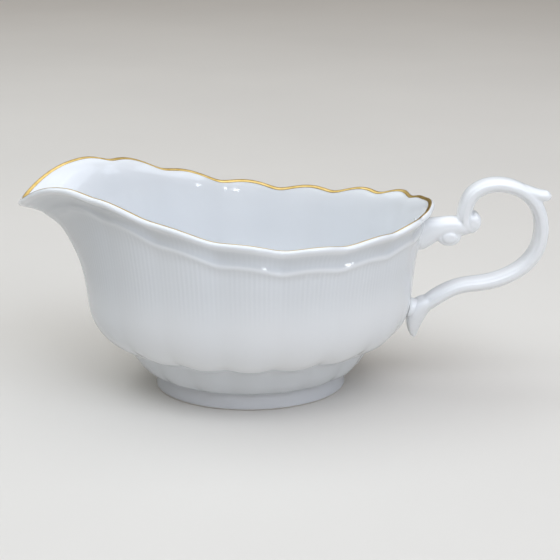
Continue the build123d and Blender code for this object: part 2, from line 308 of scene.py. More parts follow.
@dataclass(frozen=True)
class WornGilding:
    """Fired liquid gold with fine brush streaks, a little worn where fingers and cloths rub it."""

    name: str = "gilding"
    gold: tuple[float, float, float] = (0.52, 0.36, 0.11)
    pale_gold: tuple[float, float, float] = (0.72, 0.53, 0.22)
    roughness: tuple[float, float] = (0.34, 0.5)

    def make(self) -> bpy.types.Material:
        """Builds the material.

        Returns:
            The gilding, metallic all over, with streaks of paler gold and a varied roughness.
        """
        shader = Shader(self.name)
        streaks = shader.span(shader.noise(240.0, 5.0, 0.6), (0.35, 0.7), (0.0, 1.0))
        shader.join(shader.blend(streaks, self.gold, self.pale_gold), shader.surface.inputs["Base Color"])
        rubbed = shader.span(shader.noise(420.0, 3.0), (0.3, 0.7), self.roughness)
        shader.join(rubbed, shader.surface.inputs["Roughness"])
        shader.surface.inputs["Metallic"].default_value = 1.0
        shader.bump(shader.noise(300.0, 3.0), 0.00004, 0.4)
        return shader.material


@dataclass(frozen=True)
class TableCloth:
    """The pale, warm grey studio floor: matt, with barely visible tone and fine grain."""

    name: str = "studio_floor"
    light: tuple[float, float, float] = (0.70, 0.676, 0.637)
    dark: tuple[float, float, float] = (0.67, 0.647, 0.61)

    def make(self) -> bpy.types.Material:
        """Builds the floor's material."""
        shader = Shader(self.name)
        tone = shader.span(shader.noise(3.0, 4.0), (0.35, 0.65), (0.0, 1.0))
        shader.join(shader.blend(tone, self.light, self.dark), shader.surface.inputs["Base Color"])
        shader.surface.inputs["Roughness"].default_value = 0.75
        shader.bump(shader.noise(900.0, 4.0), 0.0002, 0.15)
        return shader.material


# ------------------------------------------------------------------ bowl
class Line(Enum):
    """Which height a line round the bowl keeps: its own level, or its place between the belly and the rim."""

    LEVEL = 0
    WALL = 1
    BAND = 2


@dataclass(frozen=True)
class BoatForm:
    """The boat's lobed form as formulas, in millimetres.

    A line round the bowl is an ellipse in the meridian angle t, 0 behind the handle and pi at the spout,
    swung in and out by the lobes and drawn out along the spout. Its height is a fixed level, or a share of
    the rise from the belly to the rim.

    Attributes:
        belly: the height where fixed levels end.
        ledge_drop: the ledge's drop below the rim.
        rim_series: cosine series of the rim's height in t.
        rim_lobe_lift: how far the lobes lift the rim.
        spout_dip: how far the rim dips at the spout, over spout_dip_spread.
        spout_reach: how far the spout stands out, over spout_spread.
        spout_pinch: how much the bowl narrows towards the spout.
        lobe_pitch: degrees of t for each lobe.
        crease: how soft the creases between lobes are, 0 for sharp.
        wall: the wall's thickness.
        lip_radius: the radius of the lip's round.
        lip_span: the turns of the first and last of the lip's own lip_lines.
        gilt_start: the steepness where the gilt starts, in degrees from level outward.
        gilt_spread: its width in degrees.
    """

    belly: float = 44.0
    ledge_drop: float = 9.3
    rim_series: tuple[float, float, float, float] = (91.6, -16.9, 9.8, -1.06)
    rim_lobe_lift: float = 2.2
    spout_dip: float = 36.5
    spout_dip_spread: float = 0.11
    spout_reach: float = 21.1
    spout_spread: float = 0.10
    spout_pinch: float = 0.087
    lobe_pitch: float = 20.0
    crease: float = 0.12
    wall: float = 3.0
    lip_radius: float = 1.3
    lip_span: tuple[float, float] = (30.0, 155.0)
    lip_lines: int = 6
    gilt_start: float = 88.0
    gilt_spread: float = 74.0

    def bell(self, t: np.ndarray, spread: float) -> np.ndarray:
        """1 on the spout's meridian and nearly 0 elsewhere: 1 / (1 + (1 + cos t) / spread)."""
        return 1 / (1 + (1 + np.cos(t)) / spread)

    def scallop(self, t: np.ndarray) -> np.ndarray:
        """The lobe wave: 0.3 on a crown and -0.4 in a crease, with double lobes at the back and spout."""
        angle = np.degrees(np.abs(t))
        side = np.sqrt(np.sin(np.pi * angle / self.lobe_pitch) ** 2 + self.crease) - 0.75
        back = 0.25 * np.cos(np.pi * angle / self.lobe_pitch)
        spout = 0.25 * np.sin(np.pi * (angle - 140) / 40)
        past_back, into_spout = ramp(angle, 8, 20), ramp(angle, 139, 155)
        return back * (1 - past_back) + side * past_back * (1 - into_spout) + spout * into_spout

    def rim_height(self, t: np.ndarray) -> np.ndarray:
        """The rim's height: a cosine series, less the dip at the spout, plus the lobes' lift."""
        swing = sum(size * np.cos(order * t) for order, size in enumerate(self.rim_series))
        dip = self.spout_dip * self.bell(t, self.spout_dip_spread)
        return swing - dip + self.rim_lobe_lift * self.scallop(t)

    def line(self, t: np.ndarray, kind: Line, place: float, half_length: float, half_width: float,
             lobe: float = 0.0, lift: float = 0.0) -> np.ndarray:
        """Points of one line round the bowl.

        Args:
            t: meridian angles.
            kind: what place means.
            place: the level in mm, the share from belly to ledge, or the drop below the rim in mm.
            half_length: half the line's length without the spout.
            half_width: half its width.
            lobe: how far the lobes swing the line in plan.
            lift: how far they swing it up.

        Returns:
            The points, shape (len(t), 3).
        """
        share = {Line.LEVEL: 0.0, Line.WALL: place, Line.BAND: 1.0}[kind]
        drop = {Line.LEVEL: self.belly - place, Line.WALL: place * self.ledge_drop, Line.BAND: place}[kind]
        if kind is not Line.LEVEL:
            drop = drop * (1 - 0.5 * self.bell(t, self.spout_dip_spread))
        rise = self.rim_height(t) - self.belly
        wave = self.scallop(t)
        height = self.belly + share * rise - drop + lift * wave
        climb = np.maximum((height - self.belly) / rise, 0.0)
        x = half_length * np.cos(t)
        y = half_width * np.sin(t) * (1 - self.spout_pinch * ramp(climb, 0, 1) * (1 - np.cos(t)) / 2)
        reach = self.spout_reach * (0.6 * climb**2 + 0.4 * climb**10) * self.bell(t, self.spout_spread)
        growth = 1 + (reach + lobe * wave) / np.hypot(x, y)
        return np.stack([x * growth, y * growth, height], axis=-1)

    def lines(self, t: np.ndarray, table: tuple) -> np.ndarray:
        """A stack of lines from a table of their arguments."""
        return np.stack([self.line(t, *row) for row in table])

    def lip_frame(self, t: np.ndarray) -> tuple[np.ndarray, np.ndarray, np.ndarray]:
        """The lip's centre line, its outward direction and its upward direction along the wall."""
        below, edge = self.line(t, *OUTSIDE[-2]), self.line(t, *OUTSIDE[-1])
        up = unit(edge - below)
        outward = unit(np.cross(periodic_slope(edge), up))
        return edge - outward * self.lip_radius, outward, up

    def lip(self, t: np.ndarray, turns: np.ndarray, radius: float) -> np.ndarray:
        """Lines on a half round about the lip's centre, and past it straight down the inner side.

        Args:
            t: meridian angles.
            turns: degrees from the lip's own outer side, shape (lines, 1) or (lines, len(t)).
            radius: the lines' distance from the lip's centre.

        Returns:
            The lines, shape (lines, len(t), 3).
        """
        centre, outward, up = self.lip_frame(t)
        turn = np.radians(np.minimum(turns, 180.0))[..., None]
        past = np.radians(np.maximum(turns - 180.0, 0.0))[..., None]
        return centre + (outward * np.cos(turn) + up * np.sin(turn)) * radius - up * past * self.lip_radius

    def gilt_turns(self, t: np.ndarray, shares: np.ndarray) -> np.ndarray:
        """Turns over the gilt's width, which starts at one steepness all round, just inside the lip's top."""
        lean = np.degrees(np.arcsin(-self.lip_frame(t)[1][:, 2]))
        return self.gilt_start + lean + self.gilt_spread * shares[:, None]

    def lip_turns(self, t: np.ndarray) -> np.ndarray:
        """Turns of the skin's own lines over the lip: evenly spaced."""
        return np.broadcast_to(np.linspace(*self.lip_span, self.lip_lines)[:, None], (self.lip_lines, len(t)))


def periodic_slope(line: np.ndarray) -> np.ndarray:
    """Central differences along a closed line."""
    return np.roll(line, -1, axis=-2) - np.roll(line, 1, axis=-2)


# Lines of the outside: tier, step, belly, fluted wall, ledge and the hollow band under the lip.
OUTSIDE = (
    (Line.LEVEL, 8.0, 43.2, 31.8, 0.3, 0.0),
    (Line.LEVEL, 9.2, 45.6, 33.2, 0.6, -0.5),
    (Line.LEVEL, 11.0, 47.8, 34.5, 0.7, -0.5),
    (Line.LEVEL, 13.5, 49.8, 35.8, 0.7, -0.5),
    (Line.LEVEL, 16.5, 51.6, 37.1, 0.8, -0.6),
    (Line.LEVEL, 19.5, 53.0, 38.2, 0.9, -0.8),
    (Line.LEVEL, 21.0, 53.7, 38.8, 1.0, -1.0),
    (Line.LEVEL, 21.7, 54.7, 39.6, 1.2, -1.1),
    (Line.LEVEL, 22.3, 56.6, 40.8, 1.3, -1.1),
    (Line.LEVEL, 23.7, 59.8, 42.4, 1.1, -1.0),
    (Line.LEVEL, 25.6, 62.9, 43.9, 1.0, -0.8),
    (Line.LEVEL, 28.3, 65.6, 45.3, 0.9, -0.5),
    (Line.LEVEL, 32.0, 68.0, 46.6, 0.8, -0.2),
    (Line.LEVEL, 36.5, 69.5, 47.5, 0.7, 0.0),
    (Line.WALL, 0.0, 70.4, 48.0, 0.6),
    (Line.WALL, 0.25, 70.8, 48.2, 0.6),
    (Line.WALL, 0.5, 71.3, 48.4, 0.8),
    (Line.WALL, 0.75, 72.1, 48.6, 1.1),
    (Line.WALL, 0.93, 72.9, 48.9, 1.3),
    (Line.BAND, 9.3, 73.6, 49.3, 1.5),
    (Line.BAND, 8.4, 73.5, 49.1, 1.7),
    (Line.BAND, 7.0, 73.3, 48.7, 2.0),
    (Line.BAND, 5.0, 73.9, 48.6, 2.3),
    (Line.BAND, 3.0, 75.2, 48.8, 2.5),
    (Line.BAND, 1.3, 76.8, 49.1, 2.6),
)
# The smooth outside that the inner face is set back from.
INNER_BASE = (
    (Line.BAND, 1.3, 76.8, 49.1, 2.6),
    (Line.BAND, 3.0, 75.5, 48.9, 2.2),
    (Line.BAND, 6.0, 74.2, 48.7, 1.7),
    (Line.WALL, 0.93, 73.1, 48.6, 1.3),
    (Line.WALL, 0.75, 72.1, 48.4, 1.1),
    (Line.WALL, 0.5, 71.3, 48.2, 0.8),
    (Line.WALL, 0.25, 70.8, 48.1, 0.6),
    (Line.WALL, 0.0, 70.4, 48.0, 0.6),
    (Line.LEVEL, 36.5, 69.3, 47.2, 0.6),
    (Line.LEVEL, 30.0, 66.8, 45.6, 0.6),
)
# The inside's own lines from there to the flat of the floor.
FLOOR = (
    (Line.LEVEL, 24.0, 60.0, 38.8, 0.5),
    (Line.LEVEL, 19.6, 55.6, 35.0, 0.4),
    (Line.LEVEL, 16.2, 50.4, 30.8, 0.3),
    (Line.LEVEL, 14.0, 44.6, 26.6, 0.2),
    (Line.LEVEL, 12.9, 38.8, 22.6, 0.1),
    (Line.LEVEL, 12.6, 33.0, 18.8, 0.0),
)
# Steps of the skin between each line and the next: tier to belly, wall, ledge and band, lip, inside, floor.
SKIN_STEPS = [2] * 13 + [3] * 6 + [2] * 5 + [1] * 8 + [2] * 13 + [1]


@dataclass
class Bowl:
    """The bowl's skin: lobed outside with its ledge and fine ribs, rounded lip and smooth inside."""

    form: BoatForm
    ribs_per_lobe: int = 13
    columns_per_rib: int = 4
    rib_height: float = 0.11
    band_rib_height: float = 0.05
    # How far each zone turns to the pooled colour: painted shade on the band under the lip, the tier, the
    # step and under the spout; on the fluted wall partly glaze pooled in the grooves and partly painted
    # shade.
    wall_pool_and_shade: float = 0.42
    band_shade: float = 0.85
    tier_shade: float = 0.75
    spout_shade: float = 0.7
    step_shade: float = 0.45
    streak: float = 0.13
    step_height: float = 21.6
    step_lift: float = -1.0
    step_reach: float = 1.6
    tier_top: tuple[float, float] = (19.0, 24.0)
    flute_foot: tuple[float, float] = (42.0, 60.0)
    flute_top: tuple[float, float] = (8.8, 11.0)
    band_foot: tuple[float, float] = (7.6, 8.6)
    band_top: tuple[float, float] = (1.6, 3.4)
    spout_run: tuple[float, float] = (30.0, 75.0)
    lobes: int = 18
    cap_rings: int = 3

    def angles(self) -> np.ndarray:
        """The meridian angles of the grid's columns, anticlockwise seen from above."""
        columns = self.lobes * self.ribs_per_lobe * self.columns_per_rib
        return np.arange(columns) * 2 * np.pi / columns - np.pi

    def inner_lines(self, t: np.ndarray) -> np.ndarray:
        """The inner face's lines: the smooth outside, set back square to itself by the wall."""
        base = self.form.lines(t, INNER_BASE)
        up = -np.diff(base, axis=0, append=base[-1:] * 2 - base[-2:-1])
        up[0] = base[0] - base[1]
        outward = unit(np.cross(periodic_slope(base), up))
        depth = 2 * self.form.lip_radius
        depth = depth + (self.form.wall - depth) * ramp(np.arange(len(base)), 0, 4)
        return base - outward * depth[:, None, None]

    def skin(self) -> tuple[np.ndarray, np.ndarray]:
        """The whole skin from the bottom's edge over the lip to the floor's edge.

        Returns:
            The grid of points and, at each point, how far pooled glaze and painted shade darken it, 0 to 1.
        """
        t = self.angles()
        outside = self.form.lines(t, OUTSIDE)
        lip = self.form.lip(t, self.form.lip_turns(t), self.form.lip_radius)
        inside = self.inner_lines(t)
        floor = self.form.lines(t, FLOOR)
        grid = spline_samples(np.concatenate([outside, lip, inside, floor]), SKIN_STEPS)
        outer_rows = sum(SKIN_STEPS[:len(OUTSIDE) - 1])
        outside_only = (np.arange(len(grid))[:, None] < outer_rows).astype(float)
        height, drop = grid[..., 2], self.form.rim_height(t)[None, :] - grid[..., 2]
        fluted = ramp(height, *self.flute_foot) * ramp(drop, *self.flute_top)
        in_band = ramp(drop, *self.band_top) * (1 - ramp(drop, *self.band_foot))
        rib = outside_only * (self.rib_height * fluted + self.band_rib_height * in_band)
        wave = self.rib_wave(t)
        grid = grid + grid_normals(grid, closed_columns=True) * (0.5 * rib * wave)[..., None]
        # Darkening of the outside: on the fluted wall partly pooled glaze, darker in the grooves, and partly
        # painted shade; painted shade on the band, which faces down, on the tier, along the step and under
        # the spout.
        in_groove = fluted * (self.wall_pool_and_shade - self.streak * wave)
        in_channel = in_band * (self.band_shade - 0.4 * self.streak * wave)
        tier = self.tier_shade * (1 - ramp(height, *self.tier_top))
        from_step = np.abs(height - self.step_height - self.step_lift * self.form.scallop(t))
        step = self.step_shade * (1 - ramp(from_step, 0, self.step_reach))
        under_spout = self.spout_shade * ramp(-grid[..., 0], *self.spout_run)
        return grid, outside_only * np.clip(in_groove + in_channel + tier + step + under_spout, 0, 1)

    def rib_wave(self, t: np.ndarray) -> np.ndarray:
        """The ribs round the bowl, 1 on a rib and -1 in a groove at most, cast a little unevenly."""
        uneven = 0.6 + 0.4 * np.sin(23 * t) * np.cos(41 * t + 1)
        return (uneven * np.cos(self.lobes * self.ribs_per_lobe * t))[None, :]

    def caps(self, grid: np.ndarray) -> np.ndarray:
        """Adds rings that shrink towards the middle under the bottom and over the floor."""
        shares = np.linspace(0, 1, self.cap_rings + 2)[1:-1, None, None]
        bottom, floor = grid[0], grid[-1]
        under = bottom * shares + bottom.mean(axis=0) * (1 - shares)
        over = floor * shares[::-1] + floor.mean(axis=0) * (1 - shares[::-1])
        return np.concatenate([under, grid, over])

    def build(self, glaze: bpy.types.Material) -> bpy.types.Object:
        """Makes the bowl's piece and dresses it."""
        grid, pool_and_shade = self.skin()
        full = self.caps(grid)
        piece = closed_skin("bowl_skin", full)
        # The darkening by pooled glaze and painted shade, none on the caps.
        depth = np.zeros(full.shape[:2])
        depth[self.cap_rings:-self.cap_rings] = pool_and_shade
        store_attribute(piece, "pool_and_shade", np.concatenate([depth.reshape(-1), [0.0, 0.0]]))
        return dress(piece, glaze, "porcelain", "bowl")


def dress(piece: bpy.types.Object, finish: bpy.types.Material, slot: str, *nodes: str) -> bpy.types.Object:
    """Gives a piece its finish and its body, and hides the CAD nodes it stands for."""
    piece.data.materials.clear()
    piece.data.materials.append(finish)
    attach(piece, "root")
    if nodes:
        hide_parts(*nodes)
    log.info("%s: %d faces", piece.name, len(piece.data.polygons))
    return piece


# ------------------------------------------------------------------ foot ring
@dataclass
class FootRing:
    """The oval ring that the boat stands on: glazed sides and a bare standing edge."""

    half_length: float = 42.0
    half_width: float = 31.0
    height: float = 8.0
    taper: float = 0.8
    wall: float = 4.2
    edge_round: float = 0.9
    sunk: float = 0.2
    top_shade_height: float = 2.2
    columns: int = 240

    def profile(self) -> np.ndarray:
        """The ring's section as (inset from the outer edge, height): two walls, two rounds and the base."""
        turn = np.radians(np.linspace(0, 90, 7))
        radius = self.edge_round
        outer = np.stack([radius - radius * np.cos(turn), radius - radius * np.sin(turn)], axis=-1)
        inner_inset = self.wall - radius + radius * np.sin(turn)
        inner = np.stack([inner_inset, radius - radius * np.cos(turn)], axis=-1)
        rise = np.linspace(self.height + self.sunk, radius + 0.8, 8)
        lean = self.taper * rise / self.height
        outside = np.stack([lean, rise], axis=-1)
        inside = np.stack([self.wall + lean, rise], axis=-1)[::-1]
        return np.concatenate([outside, outer, inner, inside])

    def build(self, glaze: bpy.types.Material) -> bpy.types.Object:
        """Carries the section round the oval and makes the piece."""
        t = np.arange(self.columns) * 2 * np.pi / self.columns
        inset, height = self.profile().T
        x = (self.half_length - inset)[:, None] * np.cos(t)
        y = (self.half_width - inset)[:, None] * np.sin(t)
        grid = np.stack([x, y, np.broadcast_to(height[:, None], x.shape)], axis=-1)[::-1]
        piece = make_mesh("foot", grid.reshape(-1, 3), [grid_faces(len(grid), self.columns, wrap_rows=True)])
        # Painted shade: darker towards the ring's top, under the bowl.
        pool_and_shade = ramp(grid[..., 2], self.height - self.top_shade_height, self.height)
        store_attribute(piece, "pool_and_shade", pool_and_shade.reshape(-1))
        return dress(piece, glaze, "foot_porcelain", "foot_ring")


# ------------------------------------------------------------------ handle
def limb_grid(path: np.ndarray, steps: int, ring_points: int, squareness: float,
              keel: float = 0.0, groove: float = 0.0) -> np.ndarray:
    """Carries a superellipse along a path in the mirror plane.

    A point at angle a of the section stands (cos a)^(2/n) across and (sin a)^(2/n) outward, n being the
    squareness. The keel shifts it outward by cos^2 a, which bends the section into a crescent.

    Args:
        path: rows of (x, z, half thickness, half width).
        steps: samples between two rows.
        ring_points: points round the section.
        squareness: the superellipse's power, 2 for an ellipse, less for a lozenge.
        keel: how far the section's two edges lean outward, as a share of the half thickness.
        groove: depth of the two shallow grooves along each side, as a share of the section's size.

    Returns:
        The grid, shape (rows, ring_points, 3).
    """
    rows = spline_samples(path[:, None, :], [steps] * (len(path) - 1))[:, 0]
    centre = np.stack([rows[:, 0], np.zeros(len(rows)), rows[:, 1]], axis=-1)
    heading = unit(np.gradient(centre, axis=0))
    across = np.array([0.0, 1.0, 0.0])
    outward = np.cross(across, heading)
    turn = np.arange(ring_points) * 2 * np.pi / ring_points
    wide = np.sign(np.cos(turn)) * np.abs(np.cos(turn)) ** (2 / squareness)
    thick = np.sign(np.sin(turn)) * np.abs(np.sin(turn)) ** (2 / squareness)
    sunk = 1 - groove * np.exp(-((np.abs(thick) - 0.62) / 0.14) ** 2)
    wide, thick = wide * sunk, thick * sunk + keel * np.cos(turn) ** 2
    grid = centre[:, None] + rows[:, None, 3:4] * wide[None, :, None] * across
    grid = grid + rows[:, None, 2:3] * thick[None, :, None] * outward[:, None]
    return grid[:, ::-1]


# Paths in the mirror plane as rows of (x, z, half thickness, half width). The sheath lies under the strap's
# lower end, and the lower foot is the slip that carries that end to the wall.
BRACKET = np.array([
    (70.9, 67.5, 6.1, 6.3), (72.6, 67.6, 6.1, 6.0), (74.6, 68.4, 5.9, 5.7), (77.6, 69.9, 5.5, 5.4),
    (81.5, 71.1, 4.7, 5.1), (87.0, 71.8, 4.4, 5.0), (92.0, 71.6, 3.6, 4.9), (94.5, 71.5, 2.6, 4.0),
])
STRAP = np.array([
    (95.6, 78.0, 0.6, 3.6), (97.1, 76.2, 1.3, 4.4), (97.0, 73.2, 1.7, 4.7), (94.8, 71.2, 2.0, 4.9),
    (92.4, 73.0, 2.5, 5.0), (91.8, 78.6, 2.95, 5.0), (94.6, 85.8, 2.95, 5.0), (101.2, 89.7, 2.95, 5.0),
    (109.0, 89.8, 2.95, 5.0), (116.5, 86.9, 2.95, 5.0), (122.4, 80.6, 2.95, 5.0), (125.1, 71.0, 2.95, 5.0),
    (124.2, 62.3, 2.95, 5.0), (119.8, 54.8, 2.95, 5.0), (112.0, 49.3, 2.95, 5.0), (102.0, 46.1, 2.95, 5.0),
    (91.0, 44.4, 2.9, 5.0), (85.0, 41.8, 3.0, 5.1), (80.0, 38.6, 3.1, 4.9), (76.5, 35.8, 2.8, 4.4),
    (73.0, 33.0, 2.0, 3.0),
])
THUMB_REST = np.array([
    (108.0, 89.6, 1.4, 3.6), (112.0, 89.0, 2.3, 4.5), (116.5, 87.6, 2.6, 4.6), (121.2, 86.0, 2.5, 4.4),
    (124.8, 85.2, 2.4, 4.0), (127.0, 85.2, 2.1, 3.2), (128.3, 85.5, 0.9, 1.4),
])
LEAF = np.array([
    (80.4, 38.2, 1.3, 2.4), (78.2, 36.8, 3.0, 4.6), (75.4, 34.9, 3.9, 5.6), (73.3, 32.0, 4.2, 5.7),
    (72.2, 28.6, 3.8, 4.8), (72.0, 25.0, 2.7, 3.4), (72.3, 22.0, 1.4, 1.7), (72.6, 20.3, 0.4, 0.5),
])
SHEATH = np.array([
    (74.6, 34.0, 2.0, 3.2), (77.2, 36.1, 2.9, 4.6), (80.4, 38.3, 2.9, 4.4), (83.0, 39.7, 2.1, 3.2),
    (85.0, 40.6, 0.8, 1.4),
])
LOWER_FOOT = np.array([
    (68.9, 34.8, 4.4, 5.8), (70.6, 34.5, 4.5, 5.8), (72.8, 34.7, 4.0, 5.4), (75.4, 35.7, 2.8, 4.4),
    (78.0, 37.2, 1.4, 3.0),
])


@dataclass
class Handle:
    """The scroll handle: one casting of bracket, two volutes, strap, thumb rest and hanging leaf."""

    voxel: float = 0.34
    steps: int = 8
    ring_points: int = 48
    fairing: int = 9
    half_width: float = 5.0

    def limb(self, name: str, path: np.ndarray, squareness: float, **section: float) -> bpy.types.Object:
        """A closed limb along a path, in the way of limb_grid."""
        return closed_skin(name, limb_grid(path, self.steps, self.ring_points, squareness, **section))

    def volute(self, name: str, x: float, z: float, radius: float, flatness: float,
               eye_rise: float) -> bpy.types.Object:
        """A roll across the handle, turned from a profile with a groove and a domed eye at each end.

        Args:
            name: the object's name.
            x: the roll's middle, along the handle.
            z: its height.
            radius: its radius along the handle.
            flatness: its height as a share of its length.
            eye_rise: how far the eye stands proud of the strap's side.

        Returns:
            The closed roll.
        """
        side = np.array([
            (0.01, eye_rise), (0.32, 0.9 * eye_rise), (0.58, 0.4 * eye_rise), (0.72, -0.1 - 0.6 * eye_rise),
            (0.82, -0.3), (0.92, -0.6), (1.0, -1.5),
        ])
        side = side * (radius, 1) + (0, self.half_width)
        profile = np.concatenate([side, side[::-1] * (1, -1)])
        gaps = [3] * (len(side) - 1)
        radii, y = spline_samples(profile[:, None, :], gaps + [6] + gaps)[:, 0].T
        turn = np.arange(self.ring_points) * 2 * np.pi / self.ring_points
        grid = np.stack([
            x + radii[:, None] * np.cos(turn),
            np.broadcast_to(y[:, None], (len(y), len(turn))),
            z + flatness * radii[:, None] * np.sin(turn),
        ], axis=-1)
        return closed_skin(name, grid)

    def parts(self) -> list[bpy.types.Object]:
        """The limbs and volutes, each closed, before they are fused."""
        return [
            self.limb("strap_part", STRAP, 2.9, groove=0.12),
            self.limb("bracket_part", BRACKET, 2.2),
            self.limb("thumb_rest_part", THUMB_REST, 2.2),
            self.limb("leaf_part", LEAF, 1.9, keel=0.5),
            self.limb("sheath_part", SHEATH, 2.0),
            self.volute("bracket_volute_part", 85.3, 67.8, 4.9, 0.76, 0.7),
            self.volute("strap_volute_part", 95.4, 73.9, 2.6, 1.25, 0.15),
        ]

    def build(self, glaze: bpy.types.Material) -> bpy.types.Object:
        """Fuses the parts as the casting is: one skin, faired where limbs run into each other."""
        parts = self.parts()
        piece = join("handle_casting", parts)
        remesh = piece.modifiers.new("fuse", "REMESH")
        remesh.mode = "VOXEL"
        remesh.voxel_size = self.voxel * MM
        remesh.use_smooth_shade = True
        fair = piece.modifiers.new("fair", "SMOOTH")
        fair.factor = 0.5
        fair.iterations = self.fairing
        bake_modifiers(piece)
        shade_smooth(piece)
        # Darker in the casting's hollows: partly glaze pooled there, partly painted shade.
        store_attribute(piece, "pool_and_shade", hollow_depth(piece))
        return dress(piece, glaze, "handle_porcelain", "handle")


def join(name: str, parts: list[bpy.types.Object]) -> bpy.types.Object:
    """Joins closed parts into one object."""
    with bpy.context.temp_override(active_object=parts[0], selected_editable_objects=parts):
        bpy.ops.object.join()
    parts[0].name = parts[0].data.name = name
    return parts[0]


def bake_modifiers(piece: bpy.types.Object) -> None:
    """Replaces a piece's mesh by what its modifiers make of it."""
    shaped = piece.evaluated_get(bpy.context.evaluated_depsgraph_get())
    mesh = bpy.data.meshes.new_from_object(shaped)
    piece.modifiers.clear()
    piece.data = mesh
    mesh.name = piece.name


def shade_smooth(piece: bpy.types.Object) -> None:
    """Smooth shading all over."""
    piece.data.polygons.foreach_set("use_smooth", np.ones(len(piece.data.polygons), bool))


def hollow_depth(piece: bpy.types.Object, full: float = 0.05, passes: int = 6) -> np.ndarray:
    """How hollow the surface is at each vertex: the neighbours' mean offset along the normal.

    Args:
        piece: the mesh.
        full: the offset in mm that counts as 1.
        passes: how often each vertex's offset is averaged with its neighbours'.

    Returns:
        The depth at each vertex, 0 to 1.
    """
    mesh = piece.data
    count = len(mesh.vertices)
    points, normals = np.empty(count * 3), np.empty(count * 3)
    mesh.vertices.foreach_get("co", points)
    mesh.vertices.foreach_get("normal", normals)
    points, normals = points.reshape(-1, 3), normals.reshape(-1, 3)
    ends = np.empty(len(mesh.edges) * 2, int)
    mesh.edges.foreach_get("vertices", ends)
    ends = ends.reshape(-1, 2)
    total = np.zeros((count, 3))
    number = np.zeros(count)
    for here, there in ((0, 1), (1, 0)):
        np.add.at(total, ends[:, here], points[ends[:, there]] - points[ends[:, here]])
        np.add.at(number, ends[:, here], 1)
    offset = np.einsum("ij,ij->i", total / np.maximum(number, 1)[:, None], normals)
    for _ in range(passes):
        around = np.zeros(count)
        for here, there in ((0, 1), (1, 0)):
            np.add.at(around, ends[:, here], offset[ends[:, there]])
        offset = 0.5 * offset + 0.5 * around / np.maximum(number, 1)
    return np.clip(offset / (full * MM), 0, 1)


# ------------------------------------------------------------------ slip joints
@dataclass
class SlipJoint:
    """Fired slip round one foot of the handle: a collar that flares in a hollow round to the wall."""

    form: BoatForm
    name: str
    node: str
    path: np.ndarray
    squareness: float = 2.2
    flare: float = 1.4
    sunk: float = 0.3
    steps: int = 8
    ring_points: int = 64
    rows: int = 26
    fan_degrees: float = 16.0
    pool_and_shade_share: float = 0.3

    def wall_gap(self, points: np.ndarray) -> np.ndarray:
        """How far points lie outside the wall behind the handle, along X.

        The wall is a fan of meridians. Each is read at the points' heights, and the fan is then read at
        their distances from the mirror plane, both by straight lines between samples.
        """
        fan = np.radians(np.linspace(-self.fan_degrees, self.fan_degrees, 33))
        meridians = self.form.lines(fan, OUTSIDE).swapaxes(0, 1)
        x, y, z = points.reshape(-1, 3).T
        wall_x = np.stack([np.interp(z, line[:, 2], line[:, 0]) for line in meridians])
        wall_y = np.stack([np.interp(z, line[:, 2], line[:, 1]) for line in meridians])
        left = np.clip((wall_y < y).sum(axis=0) - 1, 0, len(fan) - 2)[None]
        y0, y1 = np.take_along_axis(wall_y, left, 0)[0], np.take_along_axis(wall_y, left + 1, 0)[0]
        x0, x1 = np.take_along_axis(wall_x, left, 0)[0], np.take_along_axis(wall_x, left + 1, 0)[0]
        wall = x0 + (x1 - x0) * (y - y0) / (y1 - y0)
        return (x - wall).reshape(points.shape[:-1])

    def build(self, glaze: bpy.types.Material) -> bpy.types.Object:
        """Swells the handle's own foot towards the wall by a quarter round and makes the piece."""
        foot = limb_grid(self.path, self.steps, self.ring_points, self.squareness)[:self.rows]
        centre = foot.mean(axis=1, keepdims=True)
        near = np.clip(1 - self.wall_gap(foot) / self.flare, 0, 1)
        swell = (self.flare + self.sunk) * (1 - np.sqrt(1 - near**2)) - self.sunk
        grid = foot + unit(foot - centre) * swell[..., None]
        piece = closed_skin(self.name, grid)
        # Darker towards the wall: partly glaze pooled in the hollow round, partly painted shade in the
        # corner.
        store_attribute(piece, "pool_and_shade", np.concatenate([self.pool_and_shade_share * near.reshape(-1), [0.0, 0.0]]))
        return dress(piece, glaze, "handle_porcelain", self.node)


# ------------------------------------------------------------------ gilt line
@dataclass
class GiltLine:
    """The line of gold on the inner side of the lip's top."""

    form: BoatForm
    thickness: float = 0.1
    sunk: float = 0.15
    lines: int = 8
    columns: int = 936

    def build(self, gilding: bpy.types.Material) -> bpy.types.Object:
        """A closed band: over the lip one way, and back under its skin."""
        t = np.arange(self.columns) * 2 * np.pi / self.columns - np.pi
        turns = self.form.gilt_turns(t, np.linspace(0, 1, self.lines))
        top = self.form.lip(t, turns, self.form.lip_radius + self.thickness)
        under = self.form.lip(t, turns[::-1], self.form.lip_radius - self.sunk)
        grid = np.concatenate([top, under])
        faces = grid_faces(len(grid), self.columns, wrap_rows=True)
        piece = make_mesh("gilt_line", grid.reshape(-1, 3), [faces])
        return dress(piece, gilding, "gilt", "gilt_band")


